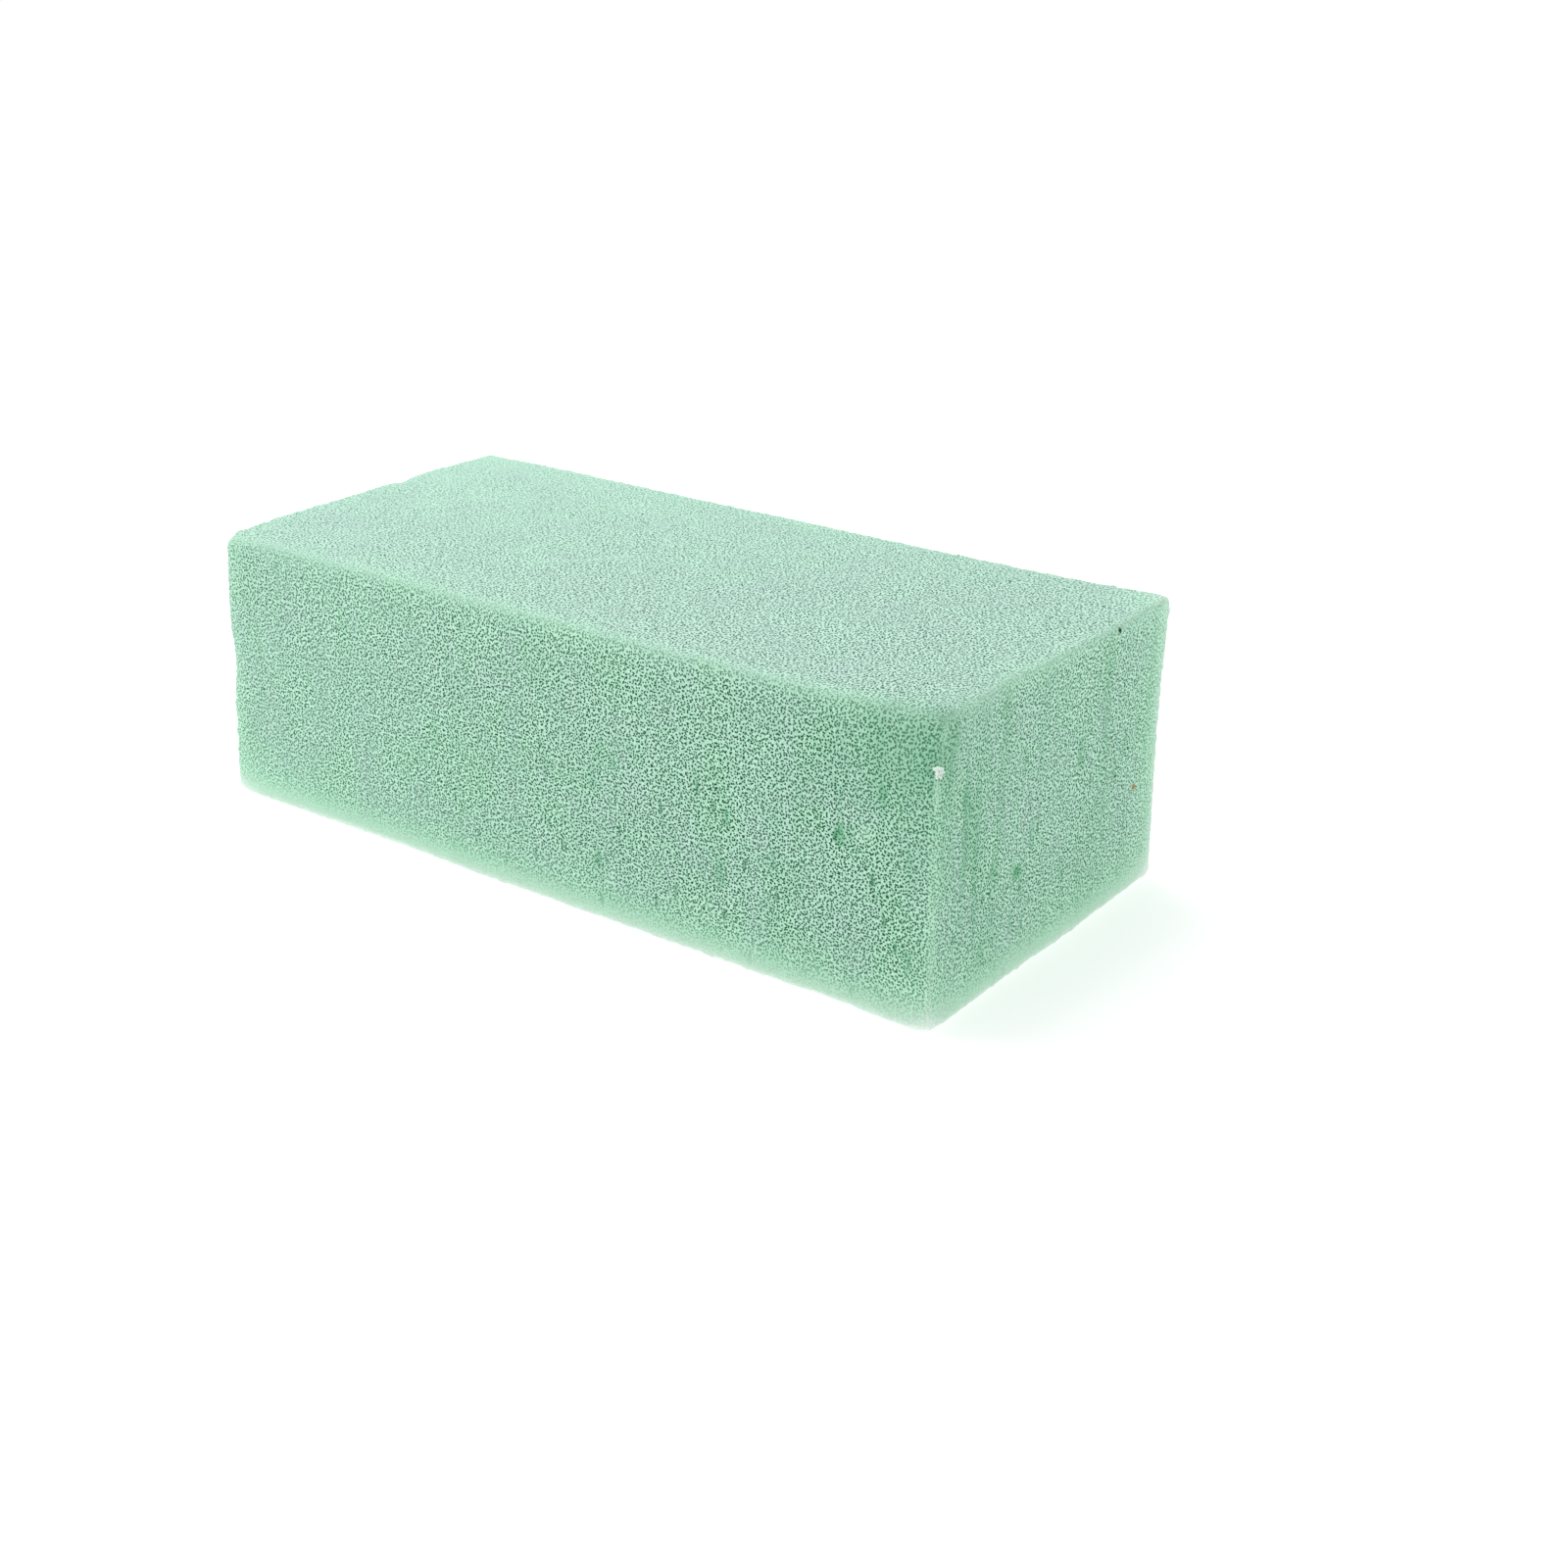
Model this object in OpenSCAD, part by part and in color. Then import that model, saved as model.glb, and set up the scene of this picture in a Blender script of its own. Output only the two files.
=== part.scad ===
// Floral foam brick: one block of rigid open-cell phenolic foam, sawn square on all
// six faces, with edges and corners rubbed slightly round by handling.
// Millimetres. X runs along the length, Y across the width, Z up.
// The origin is at the middle of the base, which rests on z = 0.

/* [Brick] */
// Length of the brick, end face to end face
brick_length = 230; // [150:1:300]
// Width of the brick, long side to long side
brick_width = 106; // [60:1:150]
// Height of the brick, base to top
brick_height = 76; // [40:1:110]

/* [Wear] */
// Radius that handling leaves on the twelve edges and eight corners
edge_radius = 3; // [1:0.5:8]

/* [Hidden] */
foam_green = [0.60, 0.80, 0.68];
round_steps = 48;
signs = [-1, 1];

// Half sizes of the block between the centres of its edge rounds.
core_x = brick_length / 2 - edge_radius;
core_y = brick_width / 2 - edge_radius;
core_z = brick_height / 2 - edge_radius;

// The three slabs whose outer faces are the six flat faces of the brick.
module flat_slabs() {
    cube([2 * core_x, 2 * core_y, brick_height], center = true);
    cube([2 * core_x, brick_width, 2 * core_z], center = true);
    cube([brick_length, 2 * core_y, 2 * core_z], center = true);
}

// One rounded edge bar, along Z until it is turned.
module edge_bar(half_length) {
    cylinder(h = 2 * half_length, r = edge_radius, center = true, $fn = round_steps);
}

// The twelve rounded edges, four along each axis.
module rounded_edges() {
    for (a = signs, b = signs) {
        translate([a * core_x, b * core_y, 0])
            edge_bar(core_z);
        translate([a * core_x, 0, b * core_z])
            rotate([90, 0, 0])
                edge_bar(core_y);
        translate([0, a * core_y, b * core_z])
            rotate([0, 90, 0])
                edge_bar(core_x);
    }
}

// The eight rounded corners.
module rounded_corners() {
    for (x = signs, y = signs, z = signs)
        translate([x * core_x, y * core_y, z * core_z])
            sphere(r = edge_radius, $fn = round_steps);
}

module foam_block() {
    color(foam_green)
        translate([0, 0, brick_height / 2])
            union() {
                flat_slabs();
                rounded_edges();
                rounded_corners();
            }
}

foam_block();
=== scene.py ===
import itertools
import math

import bpy
import numpy as np
from mathutils import Color, Matrix, Vector


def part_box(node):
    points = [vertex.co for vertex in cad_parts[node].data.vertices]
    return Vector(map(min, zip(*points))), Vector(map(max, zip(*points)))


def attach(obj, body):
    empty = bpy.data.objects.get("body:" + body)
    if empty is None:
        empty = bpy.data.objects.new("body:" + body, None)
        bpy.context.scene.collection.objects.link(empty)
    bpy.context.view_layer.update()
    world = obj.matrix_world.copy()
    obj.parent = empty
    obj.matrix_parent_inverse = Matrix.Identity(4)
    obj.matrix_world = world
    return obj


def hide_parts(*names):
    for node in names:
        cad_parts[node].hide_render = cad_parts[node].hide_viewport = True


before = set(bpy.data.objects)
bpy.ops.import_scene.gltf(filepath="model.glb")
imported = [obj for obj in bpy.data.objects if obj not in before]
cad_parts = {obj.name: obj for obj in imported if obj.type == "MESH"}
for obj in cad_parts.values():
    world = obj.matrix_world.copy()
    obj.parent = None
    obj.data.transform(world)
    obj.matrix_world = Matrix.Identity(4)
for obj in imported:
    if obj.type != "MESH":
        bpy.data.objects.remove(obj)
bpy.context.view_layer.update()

MM = 0.001

LOW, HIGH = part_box("foam_block")
CENTRE = np.array((LOW + HIGH) / 2)
HALF = np.array((HIGH - LOW) / 2)

# Many tables below give a place in half sizes from the middle of the brick, so (1, -1, 1) is
# the top corner at the right end and the front. An edge is given by its side on each axis, and
# 0 on the axis that it runs along.
NEAR_UPRIGHT_EDGE = (1, -1, 0)

# Size of the squares that the foam's surface is made of.
GRID_STEP = 1.04 * MM

# How far handling has rounded the edges of the top and of the base. The radius changes from one
# to the other within this share of the half height above and below the middle.
TOP_RADIUS = 1.8 * MM
BASE_RADIUS = 1.0 * MM
RADIUS_CHANGE = 0.6

# How much that radius varies along an edge, and how much the edge crumbles from one cell to the
# next: how far, and the length over which it changes.
EDGE_VARIATION = 0.3 * MM
EDGE_VARIATION_SIZE = 16 * MM
EDGE_CRUMBLE = 0.35 * MM
EDGE_CRUMBLE_SIZE = 2.6 * MM

# Where handling has worn the edges more: the place, the extra radius there, and its reach.
WORN_PLACES = (
    ((1, -1, 1), 3.0 * MM, 13 * MM),
    ((-1, -1, 1), 2.8 * MM, 14 * MM),
    ((-1, 1, 1), 1.3 * MM, 14 * MM),
    ((1, -1, -1), 1.6 * MM, 9 * MM),
    ((1, 1, -1), 0.7 * MM, 9 * MM),
    ((-1, -1, -1), 1.2 * MM, 14 * MM),
    ((-1, 1, -1), 2.0 * MM, 16 * MM),
    ((-0.55, -1, -1), 1.2 * MM, 30 * MM),
    ((-0.35, -1, 1), 0.8 * MM, 40 * MM),
    ((0.2, 1, -1), 2.0 * MM, 30 * MM),
)

# Where the block is out of true: the place, how far the foam there is shifted along each axis,
# and how far that reaches along each axis.
SHIFTS = (
    ((1, -1, 1), (-1.0 * MM, 5.5 * MM, -0.4 * MM), (19 * MM, 24 * MM, 9 * MM)),
    ((0.7, -1, 1), (0, 0.9 * MM, 0), (26 * MM, 24 * MM, 14 * MM)),
    ((1, -0.4, 1), (-1.4 * MM, 0, 0), (16 * MM, 14 * MM, 10 * MM)),
    ((1, 1, 1), (0.4 * MM, 1.1 * MM, 0.5 * MM), (26 * MM, 26 * MM, 14 * MM)),
    ((-1, -1, -1), (-1.8 * MM, 0.2 * MM, 0), (24 * MM, 24 * MM, 11 * MM)),
    ((-1, -1, 0.6), (0.5 * MM, 0, 0), (12 * MM, 12 * MM, 14 * MM)),
    ((-1, -1, 0), (1.5 * MM, 0, 0), (12 * MM, 12 * MM, 12 * MM)),
    ((-1, 0.2, -0.7), (-0.7 * MM, 0, 0), (30 * MM, 30 * MM, 30 * MM)),
    ((-1, 0.27, 1), (0.9 * MM, 0, -0.5 * MM), (4 * MM, 3.5 * MM, 4 * MM)),
    ((0.25, 1, 1), (0, -0.3 * MM, -0.1 * MM), (30 * MM, 30 * MM, 24 * MM)),
    ((-0.4, 1, -0.3), (0, -0.6 * MM, 0), (40 * MM, 40 * MM, 40 * MM)),
    ((-0.6, -1, -1), (0, 0.5 * MM, 0), (50 * MM, 14 * MM, 8 * MM)),
    ((0.55, -1, -1), (0, -0.3 * MM, 0), (30 * MM, 14 * MM, 8 * MM)),
    ((1, 0, -1), (0.5 * MM, 0, 0), (10 * MM, 30 * MM, 10 * MM)),
    ((1, -1, -1), (1.0 * MM, -1.8 * MM, 0), (13 * MM, 13 * MM, 10 * MM)),
    ((1, 1, -1), (0.3 * MM, 0.1 * MM, 0), (12 * MM, 12 * MM, 12 * MM)),
)

# The left end is not sawn quite square: its foot stands out this much further than its top.
# The lean starts at this share of the half length and is full at the end.
LEFT_END_LEAN = 1.0 * MM
LEFT_END_START = 0.55

# How the faces swell and sink: how far, the size of the lumps, and the seed of the noise.
SWELLS = (
    (0.22 * MM, 42 * MM, 31),
    (0.10 * MM, 9 * MM, 32),
)

# Saw marks run up the sides. Two layers of them, each with the size of a mark along each axis
# and the seed of the noise, then their depth, and the share of it on the long sides.
SAW_MARKS = (
    ((4.5 * MM, 4.5 * MM, 60 * MM), 33),
    ((1.9 * MM, 1.9 * MM, 22 * MM), 34),
)
SAW_DEPTH = 0.20 * MM
SAW_ON_LONG_SIDES = 0.35

# The upright edges wander in and out: how far, the size of the lumps, and how far from the edge.
EDGE_WANDER = 0.40 * MM
EDGE_WANDER_SIZE = 14 * MM
EDGE_WANDER_REACH = 7 * MM

# How far the rough cells set each point of the surface in or out.
CELL_ROUGHNESS = 0.09 * MM


def softstep(value, low, high):
    """0 below low, 1 above high, and a smooth step between."""
    share = np.clip((value - low) / (high - low), 0, 1)
    return share * share * (3 - 2 * share)


def lumps(points, size, seed):
    """Smooth noise from -1 to 1 at each point, with lumps about `size` across.

    size is one length, or three for lumps that are longer along one axis."""
    place = points / np.asarray(size)
    place = place - place.min(0)
    cell = np.floor(place).astype(int)
    share = softstep(place - cell, 0, 1)
    values = np.random.default_rng(seed).uniform(-1, 1, cell.max(0) + 2)
    total = np.zeros(len(points))
    for corner in itertools.product((0, 1), repeat=3):
        weight = np.where(np.array(corner) == 1, share, 1 - share).prod(axis=1)
        total += weight * values[tuple((cell + corner).T)]
    return total


def mixed_lumps(points, layers):
    """Equal parts of several layers of lumps, each given as a size and a seed."""
    return sum(lumps(points, size, seed) for size, seed in layers) / len(layers)


def nearness(points, place, reach):
    """1 at `place`, falling smoothly to nothing at about twice `reach` from it.

    reach is one length, or three for a different one along each axis."""
    return np.exp(-np.sum(((points - place) / np.asarray(reach)) ** 2, axis=1))


def edge_distance(points, edge):
    """How far each point is from one edge of the box, across the edge."""
    inset = [HALF[axis] - side * points[:, axis] for axis, side in enumerate(edge) if side]
    return np.hypot(*inset)


def near_edge(points, edge, reach):
    """1 on one edge of the box, falling smoothly to nothing at about twice `reach` from it."""
    return np.exp(-((edge_distance(points, edge) / reach) ** 2))


def near_upright_edges(points, reach):
    """1 on the four upright edges, falling smoothly to nothing at about twice `reach` from them."""
    inset = HALF[:2] - np.abs(points[:, :2])
    return np.exp(-np.sum((inset / reach) ** 2, axis=1))


def line_distance(points, start, end):
    """How far each point is from the straight line between two places."""
    start, along = np.array(start), np.subtract(end, start)
    share = np.clip((points - start) @ along / (along @ along), 0, 1)
    return np.linalg.norm(points - start - share[:, None] * along, axis=1)


def box_of_squares(step):
    """A closed box of squares, the size of the CAD block and centred on the origin.

    Gives its points, its faces, and the axis that each face looks along."""
    count = np.round(2 * HALF / step).astype(int)
    faces = []
    axes = []
    for axis in range(3):
        u, v = (axis + 1) % 3, (axis + 2) % 3
        across = np.meshgrid(np.arange(count[u] + 1), np.arange(count[v] + 1), indexing="ij")
        for side in (0, count[axis]):
            place = [None, None, None]
            place[u], place[v] = across
            place[axis] = np.full_like(across[0], side)
            code = np.ravel_multi_index(place, count + 1)
            ring = [code[:-1, :-1], code[1:, :-1], code[1:, 1:], code[:-1, 1:]]
            if side == 0:
                ring.reverse()
            faces.append(np.stack(ring, axis=-1).reshape(-1, 4))
            axes += [axis] * len(faces[-1])
    used, faces = np.unique(np.concatenate(faces), return_inverse=True)
    place = np.stack(np.unravel_index(used, count + 1), axis=-1)
    return (2 * place / count - 1) * HALF, faces.reshape(-1, 4), np.array(axes)


def worn_radius(points):
    """Radius that wear has given the edges and corners near each point."""
    upper = softstep(points[:, 2] / HALF[2], -RADIUS_CHANGE, RADIUS_CHANGE)
    radius = BASE_RADIUS + (TOP_RADIUS - BASE_RADIUS) * upper
    radius += EDGE_VARIATION * lumps(points, EDGE_VARIATION_SIZE, seed=11)
    radius += EDGE_CRUMBLE * lumps(points, EDGE_CRUMBLE_SIZE, seed=12)
    for place, extra, reach in WORN_PLACES:
        radius += extra * nearness(points, HALF * place, reach)
    return radius[:, None]


def rounded(points):
    """The points moved onto the worn box, and the direction that its surface faces there."""
    radius = worn_radius(points)
    core = np.clip(points, radius - HALF, HALF - radius)
    outward = points - core
    outward /= np.linalg.norm(outward, axis=1, keepdims=True)
    return core + radius * outward, outward


# Vertical tears that the saw and fingers have left: face, place along it, middle height,
# length, width and depth. A face is its axis and its side.
FRONT = (1, -1)
BACK = (1, 1)
LEFT_END = (0, -1)
RIGHT_END = (0, 1)
PLACED_TEARS = (
    (FRONT, 89.5 * MM, 43 * MM, 6 * MM, 1.0 * MM, 0.7 * MM),
    (FRONT, 57 * MM, 38 * MM, 5 * MM, 0.9 * MM, 0.5 * MM),
    (FRONT, 17 * MM, 16 * MM, 5 * MM, 0.9 * MM, 0.5 * MM),
    (RIGHT_END, -15.5 * MM, 26.5 * MM, 3.4 * MM, 1.8 * MM, 0.9 * MM),
    (RIGHT_END, -35 * MM, 44 * MM, 14 * MM, 1.4 * MM, 0.12 * MM),
    (RIGHT_END, -31 * MM, 56 * MM, 12 * MM, 1.2 * MM, 0.15 * MM),
)

# How many more lie scattered on each upright face, how far they stay from its ends, and the
# ranges of their middle heights in shares of the height, and of their lengths, widths and
# depths in millimetres.
SCATTERED_TEARS = {FRONT: 16, BACK: 16, LEFT_END: 12, RIGHT_END: 16}
TEAR_MARGIN = 6 * MM
TEAR_HEIGHTS = (0.12, 0.75)
TEAR_LENGTHS = (2.5, 9)
TEAR_WIDTHS = (0.7, 1.2)
TEAR_DEPTHS = (0.2, 0.5)

# Those in the front crowd towards its right end: how far they spread from there, where 2 is the
# whole length, and a power that crowds them the more the further it is above 1.
FRONT_TEAR_SPREAD = 1.6
FRONT_TEAR_CROWDING = 1.4


def all_tears():
    """The placed tears, and the scattered ones."""
    yield from PLACED_TEARS
    rng = np.random.default_rng(21)
    for face, count in SCATTERED_TEARS.items():
        reach = HALF[1 - face[0]] - TEAR_MARGIN
        for _ in range(count):
            along = rng.uniform(-reach, reach)
            if face == FRONT:
                along = reach * (1 - FRONT_TEAR_SPREAD * rng.uniform(0, 1) ** FRONT_TEAR_CROWDING)
            height = rng.uniform(*TEAR_HEIGHTS) * 2 * HALF[2]
            length = rng.uniform(*TEAR_LENGTHS) * MM
            width = rng.uniform(*TEAR_WIDTHS) * MM
            yield face, along, height, length, width, rng.uniform(*TEAR_DEPTHS) * MM


def tear_depth(points, outward):
    """How deep the tears cut at each point."""
    depth = np.zeros(len(points))
    height = points[:, 2] + HALF[2]
    for (axis, side), along, middle, length, width, deepest in all_tears():
        facing = softstep(outward[:, axis] * side, 0.5, 0.9)
        across = (points[:, 1 - axis] - along) / width
        upward = (height - middle) / (length / 2)
        depth = np.maximum(depth, deepest * facing * np.exp(-(across ** 2) - upward ** 4))
    return depth


def build_brick():
    """The foam block: worn edges, uneven faces, saw marks, tears and open cells."""
    flat, faces, axes = box_of_squares(GRID_STEP)
    points, outward = rounded(flat)
    upright = 1 - np.abs(outward[:, 2])

    tears = tear_depth(points, outward)
    saw = mixed_lumps(points, SAW_MARKS)
    saw *= upright * (SAW_ON_LONG_SIDES + (1 - SAW_ON_LONG_SIDES) * outward[:, 0] ** 2)
    relief = sum(height * lumps(points, size, seed) for height, size, seed in SWELLS)
    relief += SAW_DEPTH * saw
    wander = EDGE_WANDER * lumps(points, EDGE_WANDER_SIZE, seed=36)
    relief += wander * near_upright_edges(flat, EDGE_WANDER_REACH)
    relief += CELL_ROUGHNESS * np.random.default_rng(35).normal(size=len(points))
    points = points + outward * (relief - tears)[:, None]
    for place, shift, reach in SHIFTS:
        points += np.multiply.outer(nearness(flat, HALF * place, reach), shift)

    toward_left = softstep(-flat[:, 0] / HALF[0], LEFT_END_START, 1.0)
    points[:, 0] += LEFT_END_LEAN * toward_left * np.minimum(flat[:, 2] / HALF[2] - 1, 0) / 2
    points += CENTRE
    points[:, 2] = np.maximum(points[:, 2], LOW.z)

    brick = new_piece("foam_brick", points, faces)
    set_places_on_sides(brick.data, flat, faces, axes)
    # The tone carries painted light, lighter on top and towards the left end, and painted shade by
    # the near upright edge.
    set_attribute(brick.data, "tone", tone_with_painted_light(flat, outward))
    # The grain sets how strongly the painted shade and highlights of the cells show.
    set_attribute(brick.data, "grain", grain_contrast(flat, outward))
    set_attribute(brick.data, "haze", dust_and_painted_sheen(flat, outward))
    set_attribute(brick.data, "pale", painted_glow_and_pale_marks(flat))
    # The torn share also paints shade by the near upright edge and on the worn top corner.
    set_attribute(brick.data, "torn", torn_and_painted_shade_share(flat, tears, saw))
    set_attribute(brick.data, "nicked", nick_strength(flat, outward))
    return brick


def new_piece(name, points, faces):
    """A smooth-shaded mesh object in the scene."""
    mesh = bpy.data.meshes.new(name)
    mesh.from_pydata(points.tolist(), [], faces.tolist())
    mesh.polygons.foreach_set("use_smooth", np.ones(len(faces), bool))
    piece = bpy.data.objects.new(name, mesh)
    bpy.context.scene.collection.objects.link(piece)
    return piece


def set_attribute(mesh, name, values):
    """Gives each point of the mesh a number that its material reads by name."""
    attribute = mesh.attributes.new(name, "FLOAT", "POINT")
    attribute.data.foreach_set("value", values.astype(np.float32))


# The axes that run sideways and upward on the sides that face along X, Y and Z, and how many
# half sizes the cells of each side are shifted by, away from those of the opposite side, so that
# the two differ.
SIDE_AXES = ((1, 2), (0, 2), (0, 1))
SIDE_SHIFT = 7


def set_places_on_sides(mesh, flat, faces, axes):
    """Gives each corner of each square its place on its own side of the box, for the cells."""
    corners = flat[faces]
    places = np.zeros_like(corners)
    for axis, (sideways, upward) in enumerate(SIDE_AXES):
        chosen = axes == axis
        shift = corners[chosen][:, :, axis] * SIDE_SHIFT
        places[chosen, :, 0] = corners[chosen][:, :, sideways]
        places[chosen, :, 1] = corners[chosen][:, :, upward] + shift
    attribute = mesh.attributes.new("place_on_side", "FLOAT_VECTOR", "CORNER")
    attribute.data.foreach_set("vector", places.ravel().astype(np.float32))


# How light the foam is, from 0 to 1, and how strongly its cells show. The rows are the ends, the
# long sides, and the top and base. Each gives the value in the middle of the side, and what is
# added at its right and at its back. Both hold painted light and shade: the top and base are
# painted lighter than the upright sides, the long sides and the top darker towards the right, and
# the top lighter towards the back; the painted shade and highlights of the cells are stronger on
# the long sides than on the top and ends, and grow towards the right.
TONES_WITH_PAINTED_LIGHT = (
    (0.58, 0, 0),
    (0.548, -0.080, 0),
    (0.770, -0.055, 0.015),
)
CONTRASTS = (
    (0.70, 0, 0),
    (0.80, 0.14, 0),
    (0.74, 0.26, -0.18),
)


def by_side(flat, outward, rows):
    """A value from one of the tables above, blended where one side rounds into the next."""
    to_right = flat[:, 0] / HALF[0]
    to_back = flat[:, 1] / HALF[1]
    total = np.zeros(len(flat))
    for axis, (middle, at_right, at_back) in enumerate(rows):
        total += outward[:, axis] ** 2 * (middle + at_right * to_right + at_back * to_back)
    return total


# What painted shade takes off the tone near the near upright edge, and how far in; what is taken
# off it in the streaks on the right end; and by how much it varies, with the size of the lumps.
NEAR_EDGE_PAINTED_SHADE = 0.04
NEAR_EDGE_REACH = 11 * MM
STREAK_DARKENING = 0.06
TONE_VARIATION = 0.012
TONE_VARIATION_SIZE = 11 * MM


def tone_with_painted_light(flat, outward):
    """How light the foam is, from 0 to 1: lighter on top, and towards the left end, as painted
    light, and darker by the near upright edge as painted shade.
    """
    tone = by_side(flat, outward, TONES_WITH_PAINTED_LIGHT)
    tone -= NEAR_EDGE_PAINTED_SHADE * near_edge(flat, NEAR_UPRIGHT_EDGE, NEAR_EDGE_REACH)
    tone -= STREAK_DARKENING * end_streaks(flat)
    return tone + TONE_VARIATION * lumps(flat, TONE_VARIATION_SIZE, seed=42)


# How much the contrast of the cells varies, as a share, and the size of the lumps. The cells
# show less on rubbed edges: the share of the contrast that is left on the edges of the base and
# of the top, and the distances from them where it starts to grow and where it is full.
CONTRAST_VARIATION = 0.25
CONTRAST_VARIATION_SIZE = 6 * MM
BASE_FADE = (0.2, 1 * MM, 11 * MM)
TOP_FADE = (0.6, 0, 3 * MM)


def faded(distance, left, start, full):
    """The share of the contrast at a distance from an edge."""
    return left + (1 - left) * softstep(distance, start, full)


def grain_contrast(flat, outward):
    """How strongly the open cells show, with their painted shade and highlights."""
    contrast = by_side(flat, outward, CONTRASTS)
    contrast *= 1 + CONTRAST_VARIATION * lumps(flat, CONTRAST_VARIATION_SIZE, seed=41)
    inset = HALF - np.abs(flat)
    distance = np.hypot(np.minimum(inset[:, 0], inset[:, 1]), inset[:, 2])
    fade = np.where(flat[:, 2] < 0, faded(distance, *BASE_FADE), faded(distance, *TOP_FADE))
    return contrast * fade


# Dust, and painted sheen on the top and base: how hazy the foam is everywhere, what is added on
# the top and base, and what the patches add or take off, with the size of the patches and the seed
# of the noise for each layer of them.
HAZE = 0.06
DUST_AND_PAINTED_SHEEN_ON_LEVEL_SIDES = 0.11
HAZE_IN_PATCHES = 0.13
HAZE_PATCHES = ((13 * MM, 43), (5 * MM, 44))


def dust_and_painted_sheen(flat, outward):
    """Where fine dust in the cells, and painted sheen on the level sides, make the foam look
    greyer:
    mostly on the level sides.
    """
    haze = HAZE + DUST_AND_PAINTED_SHEEN_ON_LEVEL_SIDES * outward[:, 2] ** 2
    return np.clip(haze + HAZE_IN_PATCHES * mixed_lumps(flat, HAZE_PATCHES), 0, 1)


# Thin foam lets light through, so the edges are painted with a glow: each edge, how strongly, and
# how far in. The last three rows add a narrow bright rim to edges that also have a wider glow.
GLOWS = (
    ((0, -1, -1), 0.66, 5.0 * MM),
    ((0, 1, -1), 0.60, 5.0 * MM),
    ((1, 0, -1), 0.60, 5.2 * MM),
    ((-1, 0, -1), 0.50, 5.0 * MM),
    ((0, -1, 1), 0.30, 2.6 * MM),
    ((0, 1, 1), 0.32, 2.6 * MM),
    ((1, 0, 1), 0.32, 2.4 * MM),
    ((-1, 0, 1), 0.20, 3.0 * MM),
    ((1, -1, 0), 0.34, 1.3 * MM),
    ((1, 1, 0), 0.42, 4.2 * MM),
    ((-1, -1, 0), 0.34, 3.0 * MM),
    ((-1, 1, 0), 0.28, 3.0 * MM),
    ((0, -1, -1), 0.60, 1.3 * MM),
    ((1, 0, -1), 0.60, 1.3 * MM),
    ((1, 1, 0), 0.75, 1.7 * MM),
)

# Each glow also has a faint wide part: its share of the strength, and how far in it goes.
WIDE_GLOW = 0.20
WIDE_GLOW_REACH = 11 * MM

# The worn top corner lets less light through: the place, the share lost there, and its reach.
DULL_PLACE = (1, -1, 0.8)
DULL_LOSS = 0.75
DULL_REACH = (9 * MM, 9 * MM, 24 * MM)

# Pale spots: a blemish, and the scars below and above the torn flake. Each is a place measured
# from the middle of the brick, its strength and its reach.
PALE_SPOTS = (
    ((97 * MM, -HALF[1], 7 * MM), 0.35, 1.8 * MM),
    ((HALF[0], -HALF[1], 21 * MM), 0.45, (1.0 * MM, 1.0 * MM, 3.4 * MM)),
    ((HALF[0], -HALF[1], 33 * MM), 0.30, (0.9 * MM, 0.9 * MM, 3.0 * MM)),
)

# A pale curved scratch on the top, measured from the middle of the brick, and how pale and how
# wide it is.
SCRATCH = (
    (-30 * MM, -22 * MM, HALF[2]),
    (-24 * MM, -16 * MM, HALF[2]),
    (-18 * MM, -8.5 * MM, HALF[2]),
    (-14.5 * MM, -3 * MM, HALF[2]),
)
SCRATCH_STRENGTH = 0.30
SCRATCH_WIDTH = 1.0 * MM


def painted_glow_and_pale_marks(flat):
    """Where the foam is paler: a painted glow on thin edges that let light through, scuffs and
    the scratch.
    """
    dark = np.ones(len(flat))
    for edge, strength, reach in GLOWS:
        dark *= 1 - strength * near_edge(flat, edge, reach)
        dark *= 1 - WIDE_GLOW * strength * near_edge(flat, edge, WIDE_GLOW_REACH)
    glow = 1 - dark
    glow *= 1 - DULL_LOSS * nearness(flat, HALF * DULL_PLACE, DULL_REACH)
    for place, strength, reach in PALE_SPOTS:
        glow += strength * nearness(flat, place, reach)
    for start, end in zip(SCRATCH, SCRATCH[1:]):
        distance = line_distance(flat, start, end)
        glow = np.maximum(glow, SCRATCH_STRENGTH * np.exp(-((distance / SCRATCH_WIDTH) ** 2)))
    return np.clip(glow, 0, 1)


# Upright streaks of torn foam on the right end: the size of one along each axis, how strong the
# noise has to be for a full streak, and the place and reach of the area that has them.
STREAK_SIZE = (9 * MM, 2.4 * MM, 24 * MM)
STREAK_FULL = 0.9
STREAK_PLACE = (1, -0.65, 0.3)
STREAK_REACH = (5 * MM, 15 * MM, 30 * MM)


def end_streaks(flat):
    """Where narrow upright streaks of torn foam run down the near half of the right end."""
    streaks = softstep(lumps(flat, STREAK_SIZE, seed=45), 0, STREAK_FULL)
    return streaks * nearness(flat, HALF * STREAK_PLACE, STREAK_REACH)


# Torn foam is darker and greener. A tear this deep is fully so; then how much so the saw marks,
# the streaks and the foam by the near upright edge are, with how far in that goes; and the areas
# on the worn top corner and on the right end: place, share and reach. By the near upright edge and
# in the area on the worn top corner this darker green is painted shade.
FULL_TEAR_DEPTH = 1.0 * MM
TORN_BY_SAW = 0.34
TORN_IN_STREAKS = 0.38
PAINTED_SHADE_BY_EDGE = 0.07
PAINTED_SHADE_EDGE_REACH = 12 * MM
TORN_AND_PAINTED_SHADE_AREAS = (
    ((0.93, -1, 0.75), 0.34, (20 * MM, 5 * MM, 13 * MM)),
    ((1, -0.7, 0.35), 0.06, (5 * MM, 13 * MM, 30 * MM)),
)


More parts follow.
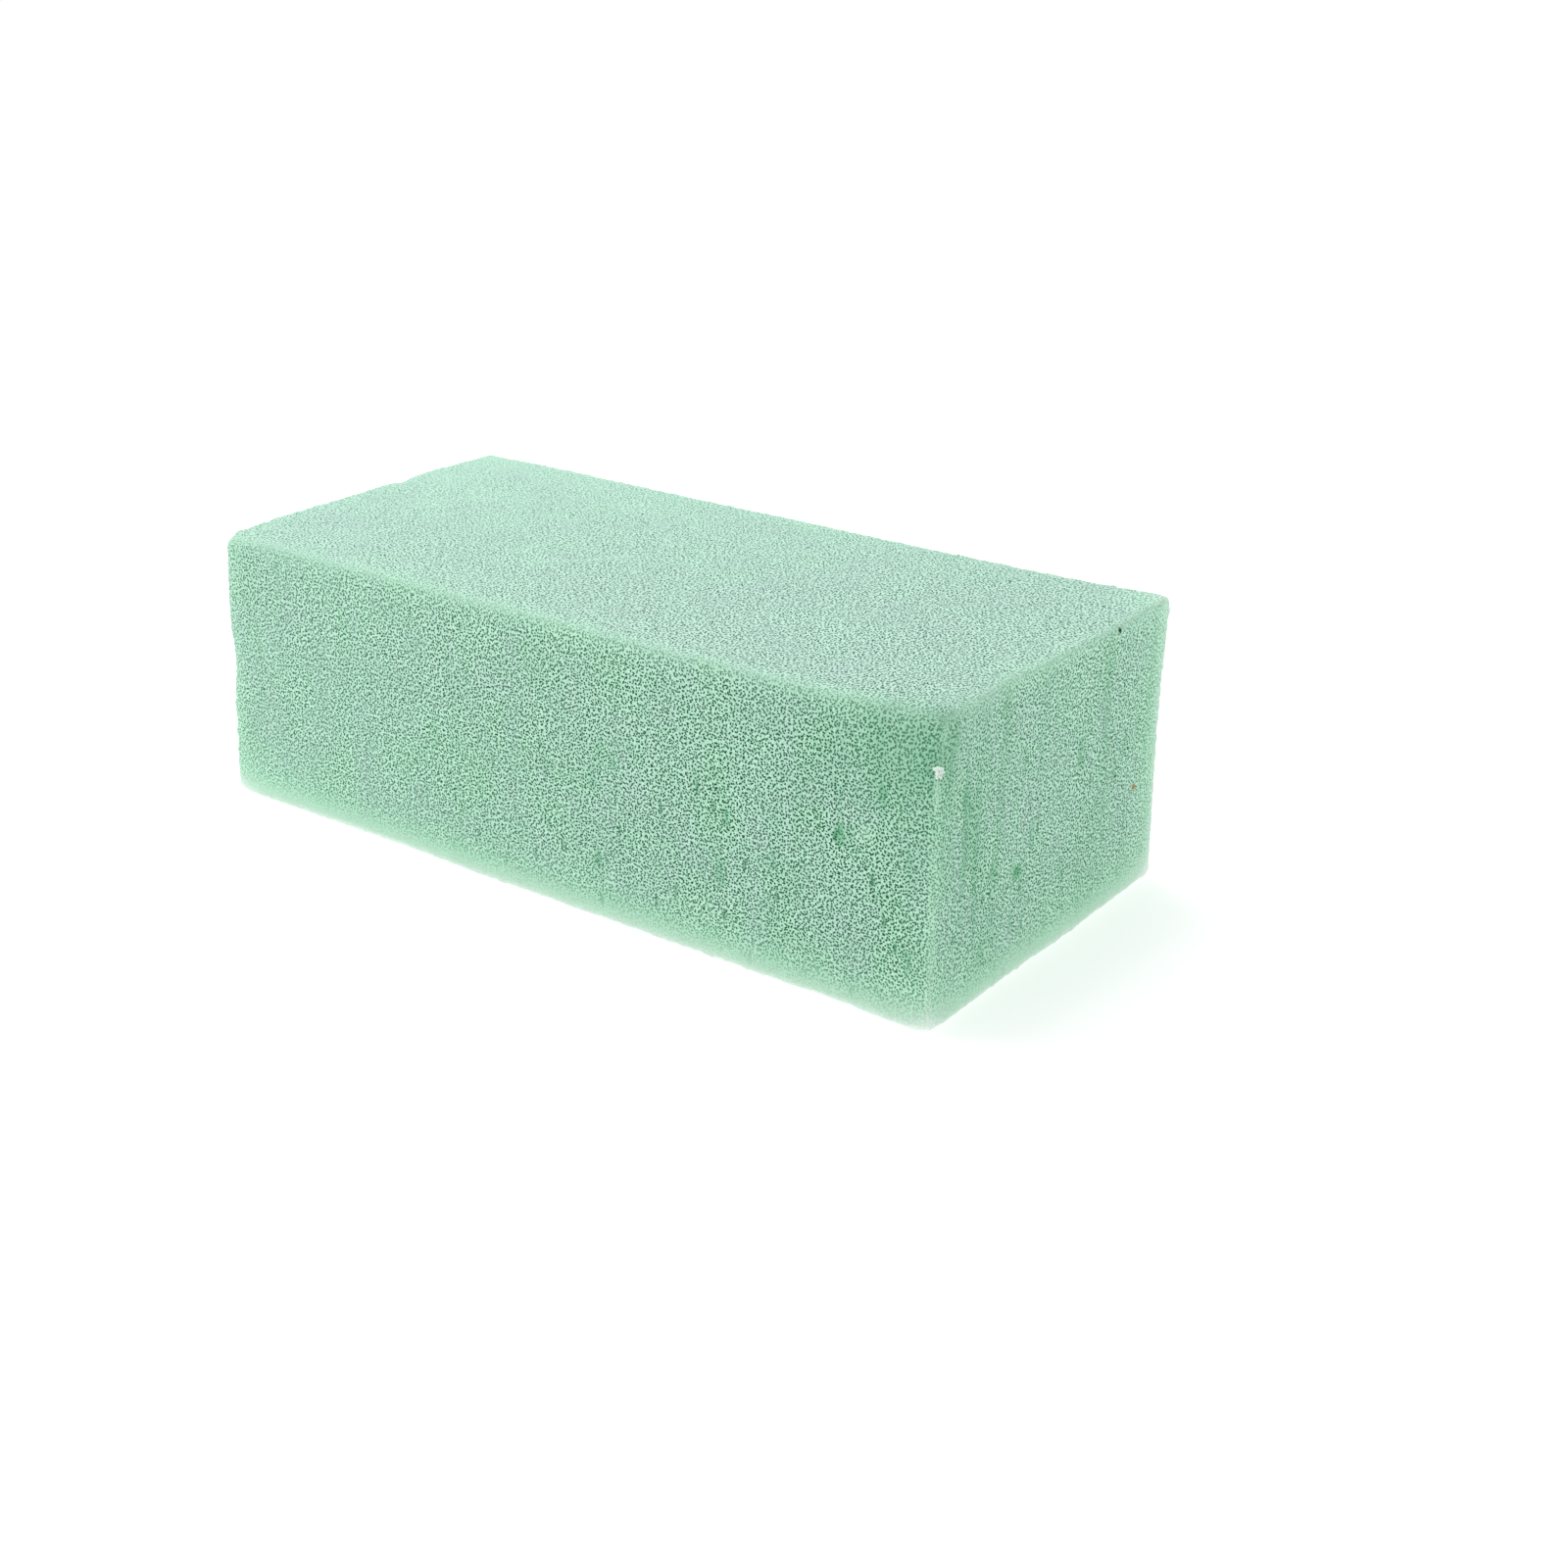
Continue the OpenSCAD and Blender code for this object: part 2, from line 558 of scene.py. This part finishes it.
def torn_and_painted_shade_share(flat, tears, saw):
    """Where the foam is freshly torn, so darker and greener, and where painted shade makes it so by
    the near upright edge and on the worn top corner.
    """
    share = tears / FULL_TEAR_DEPTH + TORN_BY_SAW * np.maximum(saw, 0)
    for place, strength, reach in TORN_AND_PAINTED_SHADE_AREAS:
        share += strength * nearness(flat, HALF * place, reach)
    share += PAINTED_SHADE_BY_EDGE * near_edge(flat, NEAR_UPRIGHT_EDGE, PAINTED_SHADE_EDGE_REACH)
    share += TORN_IN_STREAKS * end_streaks(flat)
    return np.clip(share, 0, 1)


# Nicks in the upright sides: how dark they are, the share of that which is lost on the ends, and
# where they fade in, in half sizes from the middle: towards the right, and towards the base.
NICK_DARKNESS = 0.8
NICK_LOSS_ON_ENDS = 0.5
NICKS_TO_RIGHT = (-0.9, 0.5)
NICKS_TO_BASE = (-0.8, 0.2)


def nick_strength(flat, outward):
    """How dark the nicks in the upright sides are: darkest low down and towards the right."""
    strength = NICK_DARKNESS * softstep(1 - np.abs(outward[:, 2]), 0.5, 1)
    strength *= softstep(flat[:, 0] / HALF[0], *NICKS_TO_RIGHT)
    strength *= softstep(-flat[:, 2] / HALF[2], *NICKS_TO_BASE)
    return strength * (1 - NICK_LOSS_ON_ENDS * outward[:, 0] ** 2)


# The torn flake on the near upright edge: how high up it is, how far its curl sits behind the
# front and inside the sharp edge, the radius and the two end angles of the curl, its width, and
# how much thicker it is in the middle than at its rims.
FLAKE_HEIGHT = 63.5 * MM
FLAKE_SETBACK = 0.6 * MM
FLAKE_INSET = 1.3 * MM
FLAKE_RADIUS = 1.15 * MM
FLAKE_CURL = (-2.3, 1.7)
FLAKE_WIDTH = 3.0 * MM
FLAKE_THICKNESS = 0.4 * MM

# How many points it has each way. The end inside the foam is this share of its width, its ragged
# sides are between these shares of it, its rims are this share of FLAKE_THICKNESS thick, and how
# rough it is.
FLAKE_STEPS = 16
FLAKE_ROOT = 0.3
FLAKE_RAGGED = (0.6, 1.1)
FLAKE_RIM = 0.1
FLAKE_ROUGHNESS = 0.10 * MM

# The flake's foam is lighter and paler than the rest.
FLAKE_TONE = 0.8
FLAKE_PALENESS = 0.9


def sheet_faces(steps):
    """The faces of a closed sheet, facing outward: its outer side, its inner side and its rim.

    The outer side's points come first, row by row, and then the inner side's."""
    count = steps * steps
    code = np.arange(count).reshape(steps, steps)
    ring = (code[:-1, :-1], code[1:, :-1], code[1:, 1:], code[:-1, 1:])
    side = np.stack(ring, axis=-1).reshape(-1, 4)
    rim = np.concatenate((code[:-1, 0], code[-1, :-1], code[:0:-1, -1], code[0, :0:-1]))
    after = np.roll(rim, -1)
    edge = np.stack((rim, rim + count, after + count, after), axis=-1)
    return np.concatenate((side[:, ::-1], side + count, edge[:, ::-1]))


def build_flake():
    """A shred of foam that has torn loose from the near upright edge and curled over."""
    steps = np.linspace(0, 1, FLAKE_STEPS)
    along, across = np.meshgrid(steps, np.linspace(-1, 1, FLAKE_STEPS), indexing="ij")
    along, across = along.ravel(), across.ravel()
    angle = FLAKE_CURL[0] + (FLAKE_CURL[1] - FLAKE_CURL[0]) * along
    outward = np.array((1, -1, 0)) / math.sqrt(2)
    sideways = np.array((1, 1, 0)) / math.sqrt(2)
    normal = np.outer(np.cos(angle), outward) + np.outer(np.sin(angle), (0, 0, 1))
    middle = np.array((HIGH.x, LOW.y + FLAKE_SETBACK, FLAKE_HEIGHT)) - FLAKE_INSET * outward
    ragged = np.random.default_rng(52).uniform(*FLAKE_RAGGED, (FLAKE_STEPS, 2))
    row = np.arange(len(along)) // FLAKE_STEPS
    taper = FLAKE_ROOT + (1 - FLAKE_ROOT) * along
    taper *= ragged[row, (across > 0).astype(int)]
    sheet = middle + FLAKE_RADIUS * normal + np.outer(FLAKE_WIDTH / 2 * taper * across, sideways)
    sheet += FLAKE_ROUGHNESS * np.random.default_rng(51).normal(size=sheet.shape)
    half = FLAKE_THICKNESS / 2 * (1 + FLAKE_RIM - across ** 2)[:, None]
    points = np.concatenate((sheet + half * normal, sheet - half * normal))

    flake = new_piece("torn_flake", points, sheet_faces(FLAKE_STEPS))
    set_attribute(flake.data, "tone", np.full(len(points), FLAKE_TONE))
    set_attribute(flake.data, "pale", np.full(len(points), FLAKE_PALENESS))
    return flake


def new_material(name):
    """An empty node material: the material, its tree and its Principled shader."""
    material = bpy.data.materials.new(name)
    material.use_nodes = True
    shader = material.node_tree.nodes["Principled BSDF"]
    return material, material.node_tree, shader


def add(tree, kind, settings=None, **inputs):
    """One shader node. An input is a number, a colour or another node's output."""
    made = tree.nodes.new("ShaderNode" + kind)
    for name, value in (settings or {}).items():
        setattr(made, name, value)
    for name, value in inputs.items():
        connect(tree, made.inputs[name], value)
    return made


def connect(tree, socket, value):
    """Links another node's output to a socket, or sets the socket to a plain value."""
    if isinstance(value, bpy.types.NodeSocket):
        tree.links.new(value, socket)
    else:
        socket.default_value = value


def work_out(tree, operation, *values, clamp=False):
    """The result of one Math node."""
    made = add(tree, "Math", {"operation": operation, "use_clamp": clamp})
    for socket, value in zip(made.inputs, values):
        connect(tree, socket, value)
    return made.outputs[0]


# The Mix node has sockets for several kinds of data. These are its share, and its colours.
MIX_SHARE = 0
MIX_FIRST_COLOUR = 6
MIX_SECOND_COLOUR = 7
MIX_COLOUR_RESULT = 2


def blend_colour(tree, share, first, second):
    """A mix of two colours."""
    made = add(tree, "Mix", {"data_type": "RGBA"})
    connect(tree, made.inputs[MIX_SHARE], share)
    connect(tree, made.inputs[MIX_FIRST_COLOUR], first)
    connect(tree, made.inputs[MIX_SECOND_COLOUR], second)
    return made.outputs[MIX_COLOUR_RESULT]


def ramp(tree, share, stops):
    """A colour ramp through stops of (place, colour)."""
    made = add(tree, "ValToRGB", Fac=share)
    elements = made.color_ramp.elements
    while len(elements) < len(stops):
        elements.new(0.5)
    for element, (place, colour) in zip(elements, stops):
        element.position = place
        element.color = colour
    return made.outputs["Color"]


def shade(red, green, blue):
    """The colour that a shader needs for one given as it is seen on a screen, 0 to 255."""
    seen = Color((red / 255, green / 255, blue / 255))
    return (*seen.from_srgb_to_scene_linear(), 1)


# Painted shade in the pits of the cells.
PIT_SHADE = shade(14, 66, 40)
DEEP_SHADE = shade(81, 148, 112)
FOAM_SHADE = shade(144, 199, 166)
# A painted highlight on the cell walls and crumbs.
WALL_SHADE = shade(206, 246, 225)
# The painted glow of light through thin edges, and its paler rim.
GLOW_SHADE = shade(200, 254, 220)
EDGE_SHADE = shade(216, 246, 226)
FLAKE_SHADE = shade(246, 252, 248)
# Torn foam, and also painted shade by the near upright edge and on the worn top corner.
TORN_AND_PAINTED_SHADE_GREEN = shade(68, 158, 106)
NICK_SHADE = shade(34, 118, 72)
# Dust, and painted sheen on the top and base.
HAZE_SHADE = shade(172, 177, 197)
BLACK_SPECK = shade(38, 22, 16)
BROWN_SPECK = shade(168, 112, 44)

# Bits of dirt on the right end, measured from the middle of the base: place and radius. They
# have faded out at this many times their radius, and start to fade one radius nearer in.
BLACK_SPECK_PLACE = ((HALF[0], 27.4 * MM, 74.6 * MM), 0.75 * MM)
BROWN_SPECK_PLACE = ((HALF[0], 41 * MM, 29 * MM), 0.9 * MM)
SPECK_FADED = 1.4


def speck(tree, place, colour, where, speck_colour):
    """The colour with a small soft-edged spot painted on it."""
    centre, radius = where
    distance = add(tree, "VectorMath", {"operation": "DISTANCE"})
    connect(tree, distance.inputs[0], place)
    connect(tree, distance.inputs[1], centre)
    share = work_out(tree, "DIVIDE", distance.outputs["Value"], radius)
    share = work_out(tree, "SUBTRACT", SPECK_FADED, share, clamp=True)
    return blend_colour(tree, share, colour, speck_colour)


# The dark pits of the foam, painted with shade, and the pale crumbs on it, painted with
# highlights: the mean distance from one to the next, and where each starts to fade and has faded
# out, as shares of that distance.
PIT_SPACING = 0.74 * MM
PIT_SPAN = (0.12, 0.45)
CRUMB_SPACING = 0.80 * MM
CRUMB_SPAN = (0.10, 0.45)

# The strength of a pit, a crumb or a nick is drawn between this and 1.
LEAST_STRENGTH = 0.6

# Height of the cell walls, and how far a full pit goes down from it and a full crumb up. At the
# level height the foam has its own tone. Above it the foam is lighter, and below it darker: painted
# highlights on the walls and crumbs, and painted shade in the pits.
WALL_HEIGHT = 0.74
PIT_DEPTH = 1.8
CRUMB_HEIGHT = 0.6
LEVEL_HEIGHT = 0.5

# Nicks: mean distances sideways and upward, and where they fade, as shares of those.
NICK_SPACING = (10 * MM, 30 * MM)
NICK_SPAN = (0.025, 0.08)


def dots(tree, place, spacing, span):
    """Round dots at uneven spacing, from 1 in the middle to 0 at the end of the span."""
    cells = add(tree, "TexVoronoi", {"voronoi_dimensions": "2D"}, Vector=place, Scale=1 / spacing)
    random = add(tree, "SeparateColor", Color=cells.outputs["Color"]).outputs["Red"]
    shape = add(tree, "MapRange", {"interpolation_type": "SMOOTHSTEP"})
    connect(tree, shape.inputs["Value"], cells.outputs["Distance"])
    shape.inputs["From Min"].default_value = span[0]
    shape.inputs["From Max"].default_value = span[1]
    shape.inputs["To Min"].default_value = 1.0
    shape.inputs["To Max"].default_value = 0.0
    strength = work_out(tree, "MULTIPLY_ADD", random, 1 - LEAST_STRENGTH, LEAST_STRENGTH)
    return work_out(tree, "MULTIPLY", shape.outputs["Result"], strength)


def nick_marks(tree, on_side):
    """Short upright marks, far apart, where fingers and the saw have torn cells out."""
    stretched = add(tree, "VectorMath", {"operation": "DIVIDE"})
    connect(tree, stretched.inputs[0], on_side)
    connect(tree, stretched.inputs[1], (*NICK_SPACING, 1))
    return dots(tree, stretched.outputs["Vector"], 1, NICK_SPAN)


def foam_material():
    """Open-cell foam: dark pits of painted shade and pale cell walls with painted highlights on
    mint green, fully matte.
    """
    material, tree, shader = new_material("phenolic_foam")
    place = add(tree, "TexCoord").outputs["Object"]
    on_side = add(tree, "Attribute", {"attribute_name": "place_on_side"}).outputs["Vector"]
    tone, grain, haze, pale, torn, nicked = (
        add(tree, "Attribute", {"attribute_name": name}).outputs["Fac"]
        for name in ("tone", "grain", "haze", "pale", "torn", "nicked"))

    pits = dots(tree, on_side, PIT_SPACING, PIT_SPAN)
    crumbs = dots(tree, on_side, CRUMB_SPACING, CRUMB_SPAN)
    height = work_out(tree, "MULTIPLY_ADD", crumbs, CRUMB_HEIGHT, WALL_HEIGHT)
    height = work_out(tree, "SUBTRACT", height, work_out(tree, "MULTIPLY", pits, PIT_DEPTH))
    lift = work_out(tree, "MULTIPLY", work_out(tree, "SUBTRACT", height, LEVEL_HEIGHT), grain)
    lightness = work_out(tree, "ADD", lift, tone, clamp=True)
    colour = ramp(tree, lightness, (
        (0.0, PIT_SHADE),
        (0.25, DEEP_SHADE),
        (0.5, FOAM_SHADE),
        (1.0, WALL_SHADE),
    ))
    # Dust, and painted sheen on the top and base.
    colour = blend_colour(tree, haze, colour, HAZE_SHADE)
    # Torn foam, and painted shade by the near upright edge and on the worn top corner.
    colour = blend_colour(tree, torn, colour, TORN_AND_PAINTED_SHADE_GREEN)
    nicks = work_out(tree, "MULTIPLY", nick_marks(tree, on_side), nicked)
    colour = blend_colour(tree, nicks, colour, NICK_SHADE)
    # The painted glow of light through thin edges, and the pale scuffs, scratch and flake.
    light_through = ramp(tree, pale, ((0.2, GLOW_SHADE), (0.7, EDGE_SHADE), (1.0, FLAKE_SHADE)))
    colour = blend_colour(tree, pale, colour, light_through)
    colour = speck(tree, place, colour, BLACK_SPECK_PLACE, BLACK_SPECK)
    colour = speck(tree, place, colour, BROWN_SPECK_PLACE, BROWN_SPECK)

    bump = add(tree, "Bump", Strength=0.35, Distance=0.3 * MM, Height=height)
    connect(tree, shader.inputs["Base Color"], colour)
    connect(tree, shader.inputs["Normal"], bump.outputs["Normal"])
    shader.inputs["Roughness"].default_value = 0.95
    shader.inputs["Specular IOR Level"].default_value = 0.15
    return material


def floor_material():
    """A pale floor that is lit a little from below, as a light table is."""
    material, tree, shader = new_material("pale_floor")
    shader.inputs["Base Color"].default_value = (0.9, 0.9, 0.9, 1)
    shader.inputs["Roughness"].default_value = 0.9
    shader.inputs["Specular IOR Level"].default_value = 0.0
    shader.inputs["Emission Color"].default_value = (1, 1, 1, 1)
    shader.inputs["Emission Strength"].default_value = 0.35
    return material


# How far the floor reaches on each side of the origin, and how far below the base it lies.
FLOOR_REACH = 6.0
FLOOR_GAP = 0.05 * MM


def build_floor():
    """A plain pale floor that reaches well past the brick."""
    signs = ((-1, -1), (1, -1), (1, 1), (-1, 1))
    corners = [(x * FLOOR_REACH, y * FLOOR_REACH, LOW.z - FLOOR_GAP) for x, y in signs]
    mesh = bpy.data.meshes.new("floor")
    mesh.from_pydata(corners, [], [(0, 1, 2, 3)])
    mesh.materials.append(floor_material())
    floor = bpy.data.objects.new("floor", mesh)
    bpy.context.scene.collection.objects.link(floor)


# The softbox: its place, the length of its side in metres, and its power in watts. Then the
# strength of the white light from all round.
KEY_PLACE = (-0.9, 0.1, 1.5)
KEY_SIZE = 1.4
KEY_POWER = 14
ROUND_LIGHT = 0.75


def build_light():
    """Soft light from all round, with a large softbox above and beyond the left end."""
    world = bpy.data.worlds.new("studio")
    world.use_nodes = True
    background = world.node_tree.nodes["Background"]
    background.inputs["Color"].default_value = (1, 1, 1, 1)
    background.inputs["Strength"].default_value = ROUND_LIGHT
    bpy.context.scene.world = world

    light = bpy.data.lights.new("key_softbox", "AREA")
    light.size = KEY_SIZE
    light.energy = KEY_POWER
    lamp = bpy.data.objects.new("key_softbox", light)
    lamp.location = KEY_PLACE
    lamp.rotation_mode = "QUATERNION"
    lamp.rotation_quaternion = (Vector(CENTRE) - Vector(KEY_PLACE)).to_track_quat("-Z", "Y")
    bpy.context.scene.collection.objects.link(lamp)
    bpy.context.scene.view_settings.view_transform = "Standard"


# The camera looks down at the front and the right end: its direction from the brick, its roll,
# its distance in metres, and its lens and sensor in millimetres. The brick lies left of the
# middle of the picture and above it, so the camera stands this far to the right and down.
AZIMUTH = math.radians(35.97)
ELEVATION = math.radians(23.1)
ROLL = math.radians(-0.51)
DISTANCE = 0.5958
LENS = 51.44
SENSOR = 36.0
STEP_RIGHT = 28.4 * MM
STEP_DOWN = 22.1 * MM


def build_camera():
    """The camera, turned to face the brick and then stepped right and down."""
    back = Vector((
        math.sin(AZIMUTH) * math.cos(ELEVATION),
        -math.cos(AZIMUTH) * math.cos(ELEVATION),
        math.sin(ELEVATION),
    ))
    right = Vector((math.cos(AZIMUTH), math.sin(AZIMUTH), 0))
    up = back.cross(right)
    level = Matrix((right, up, back)).transposed()
    turn = level @ Matrix.Rotation(-ROLL, 3, "Z")
    place = Vector(CENTRE) + turn @ Vector((STEP_RIGHT, -STEP_DOWN, DISTANCE))
    data = bpy.data.cameras.new("camera")
    data.lens = LENS
    data.sensor_width = SENSOR
    camera = bpy.data.objects.new("camera", data)
    camera.matrix_world = Matrix.Translation(place) @ turn.to_4x4()
    bpy.context.scene.collection.objects.link(camera)
    bpy.context.scene.camera = camera


build_camera()
build_light()
build_floor()

foam = foam_material()
brick = build_brick()
flake = build_flake()
for piece in (brick, flake):
    piece.data.materials.append(foam)
    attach(piece, "root")
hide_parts("foam_block")
